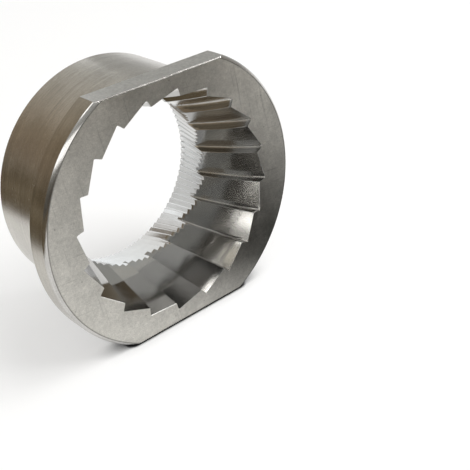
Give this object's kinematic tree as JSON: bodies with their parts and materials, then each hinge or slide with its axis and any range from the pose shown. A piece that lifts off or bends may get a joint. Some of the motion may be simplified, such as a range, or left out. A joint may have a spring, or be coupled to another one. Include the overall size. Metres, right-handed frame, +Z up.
{
  "type": "coffee grinder ring burr",
  "caption": "Flanged outer ring burr of a conical coffee grinder, with coarse saw teeth tapering in from the mouth and fine saw teeth flaring to the outlet.",
  "frame": {"origin": "centre of the bounding box's base, on the table that the burr stands on", "axes": "+Z up; +X along the two flats of the flange; the burr's axis lies in the YZ plane, with the toothed mouth facing -Y and its back end leaning down by 3.12 degrees, as the burr rests on its lower flat's back edge and its barrel's rim"},
  "size_m": [0.096, 0.0438, 0.0837],
  "materials": {
    "burr_steel": "satin turned and ground steel"
  },
  "bodies": {
    "root": {"ring_burr": "burr_steel"}
  },
  "joints": []
}
